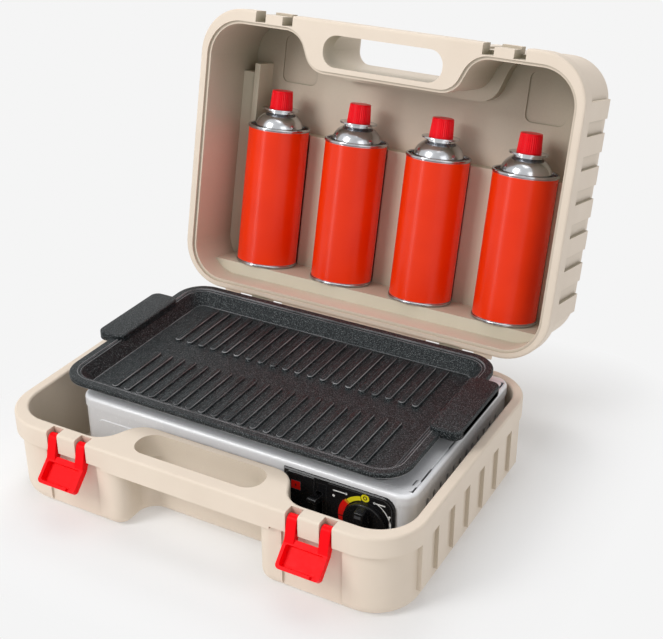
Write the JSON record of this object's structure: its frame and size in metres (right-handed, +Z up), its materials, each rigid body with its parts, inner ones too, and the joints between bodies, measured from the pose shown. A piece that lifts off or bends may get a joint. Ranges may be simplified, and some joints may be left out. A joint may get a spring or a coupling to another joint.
{
  "type": "portable butane grill kit",
  "caption": "Carrying case opened flat-backed, holding a gas cassette stove with a ribbed grill pan and gas canisters seated in the lid.",
  "frame": {"origin": "centre of the case base's underside, on the surface it stands on", "axes": "+X right as seen from the latches, +Y from the latches towards the lid hinge, +Z up"},
  "size_m": [0.424, 0.497, 0.3867],
  "materials": {
    "case_plastic": "satin",
    "latch_plastic": "gloss",
    "steel_pins": "satin",
    "stove_enamel": "gloss",
    "panel_plastic": "gloss",
    "black_enamel": "gloss",
    "zinc_steel": "satin",
    "burner_aluminium": "cast",
    "burner_brass": "satin",
    "valve_zinc": "cast",
    "ceramic": "gloss",
    "igniter_plastic": "matte",
    "wire_sleeve": "matte",
    "rubber": "matte",
    "cast_pan": "non-stick coating",
    "canister_paint": "gloss",
    "canister_steel": "bright",
    "cap_plastic": "satin"
  },
  "bodies": {
    "case": {"case_base": "case_plastic", "hinge_pins": "steel_pins", "latch_pins": "steel_pins"},
    "lid": {"case_lid": "case_plastic", "lid_seats": "case_plastic"},
    "latch_left": {"latch_left": "latch_plastic"},
    "latch_right": {"latch_right": "latch_plastic"},
    "stove": {"stove_body": "stove_enamel", "stove_top": "stove_enamel", "drip_tray": "black_enamel", "pan_support": "black_enamel", "burner_body": "burner_aluminium", "burner_cap": "burner_brass", "jet": "burner_brass", "gas_valve": "valve_zinc", "control_panel": "panel_plastic", "lever_pin": "steel_pins", "cartridge_socket": "zinc_steel", "heat_shield": "zinc_steel", "door_hinge_pin": "steel_pins", "electrode": "ceramic", "igniter": "igniter_plastic", "ignition_wire": "wire_sleeve", "bottom_plate": "zinc_steel", "rubber_feet": "rubber", "screws": "steel_pins"},
    "knob": {"control_knob": "panel_plastic", "valve_spindle": "steel_pins"},
    "lever": {"lock_lever": "panel_plastic"},
    "carrier": {"cartridge_carrier": "zinc_steel"},
    "door": {"cartridge_door": "stove_enamel"},
    "pan": {"grill_pan": "cast_pan"},
    "canister_1": {"canister_1_tin": "canister_paint", "canister_1_top": "canister_steel", "canister_1_valve": "canister_steel"},
    "cap_1": {"canister_1_cap": "cap_plastic"},
    "canister_2": {"canister_2_tin": "canister_paint", "canister_2_top": "canister_steel", "canister_2_valve": "canister_steel"},
    "cap_2": {"canister_2_cap": "cap_plastic"},
    "canister_3": {"canister_3_tin": "canister_paint", "canister_3_top": "canister_steel", "canister_3_valve": "canister_steel"},
    "cap_3": {"canister_3_cap": "cap_plastic"},
    "canister_4": {"canister_4_tin": "canister_paint", "canister_4_top": "canister_steel", "canister_4_valve": "canister_steel"},
    "cap_4": {"canister_4_cap": "cap_plastic"}
  },
  "joints": [
    {"name": "lid_hinge", "type": "hinge", "parent": "case", "child": "lid", "pos_m": [0, 0.158, 0.08715], "axis": [-1, 0, 0], "range_deg": [-103, 0]},
    {"name": "latch_left_hinge", "type": "hinge", "parent": "case", "child": "latch_left", "pos_m": [-0.126, -0.145, 0.079], "axis": [-1, 0, 0], "range_deg": [0, 135]},
    {"name": "latch_right_hinge", "type": "hinge", "parent": "case", "child": "latch_right", "pos_m": [0.126, -0.145, 0.079], "axis": [-1, 0, 0], "range_deg": [0, 135]},
    {"name": "stove_lift", "type": "slide", "parent": "case", "child": "stove", "axis": [0, 0, 1], "range_m": [0, 0.12]},
    {"name": "pan_lift", "type": "slide", "parent": "stove", "child": "pan", "axis": [0, 0, 1], "range_m": [0, 0.12]},
    {"name": "door_hinge", "type": "hinge", "parent": "stove", "child": "door", "pos_m": [0.1833, 0.024, 0.0876], "axis": [0, 1, 0], "range_deg": [0, 90]},
    {"name": "knob_turn", "type": "hinge", "parent": "stove", "child": "knob", "pos_m": [0.148, -0.092, 0.054], "axis": [0, -1, 0], "range_deg": [0, 120]},
    {"name": "lever_swing", "type": "hinge", "parent": "stove", "child": "lever", "pos_m": [0.102, -0.06, 0.052], "axis": [1, 0, 0], "range_deg": [0, 40]},
    {"name": "carrier_slide", "type": "slide", "parent": "stove", "child": "carrier", "axis": [0, -1, 0], "range_m": [0, 0.008]},
    {"name": "canister_1_lift", "type": "slide", "parent": "lid", "child": "canister_1", "axis": [0, -0.9744, 0.225], "range_m": [0, 0.055]},
    {"name": "cap_1_pull", "type": "slide", "parent": "canister_1", "child": "cap_1", "axis": [0, 0.225, 0.9744], "range_m": [0, 0.028]},
    {"name": "canister_2_lift", "type": "slide", "parent": "lid", "child": "canister_2", "axis": [0, -0.9744, 0.225], "range_m": [0, 0.055]},
    {"name": "cap_2_pull", "type": "slide", "parent": "canister_2", "child": "cap_2", "axis": [0, 0.225, 0.9744], "range_m": [0, 0.028]},
    {"name": "canister_3_lift", "type": "slide", "parent": "lid", "child": "canister_3", "axis": [0, -0.9744, 0.225], "range_m": [0, 0.055]},
    {"name": "cap_3_pull", "type": "slide", "parent": "canister_3", "child": "cap_3", "axis": [0, 0.225, 0.9744], "range_m": [0, 0.028]},
    {"name": "canister_4_lift", "type": "slide", "parent": "lid", "child": "canister_4", "axis": [0, -0.9744, 0.225], "range_m": [0, 0.055]},
    {"name": "cap_4_pull", "type": "slide", "parent": "canister_4", "child": "cap_4", "axis": [0, 0.225, 0.9744], "range_m": [0, 0.028]}
  ],
  "couplings": [
    {"joint": "door_hinge", "follows": "pan_lift", "rad_per_m": 13.09},
    {"joint": "lever_swing", "follows": "carrier_slide", "rad_per_m": 87.266}
  ]
}
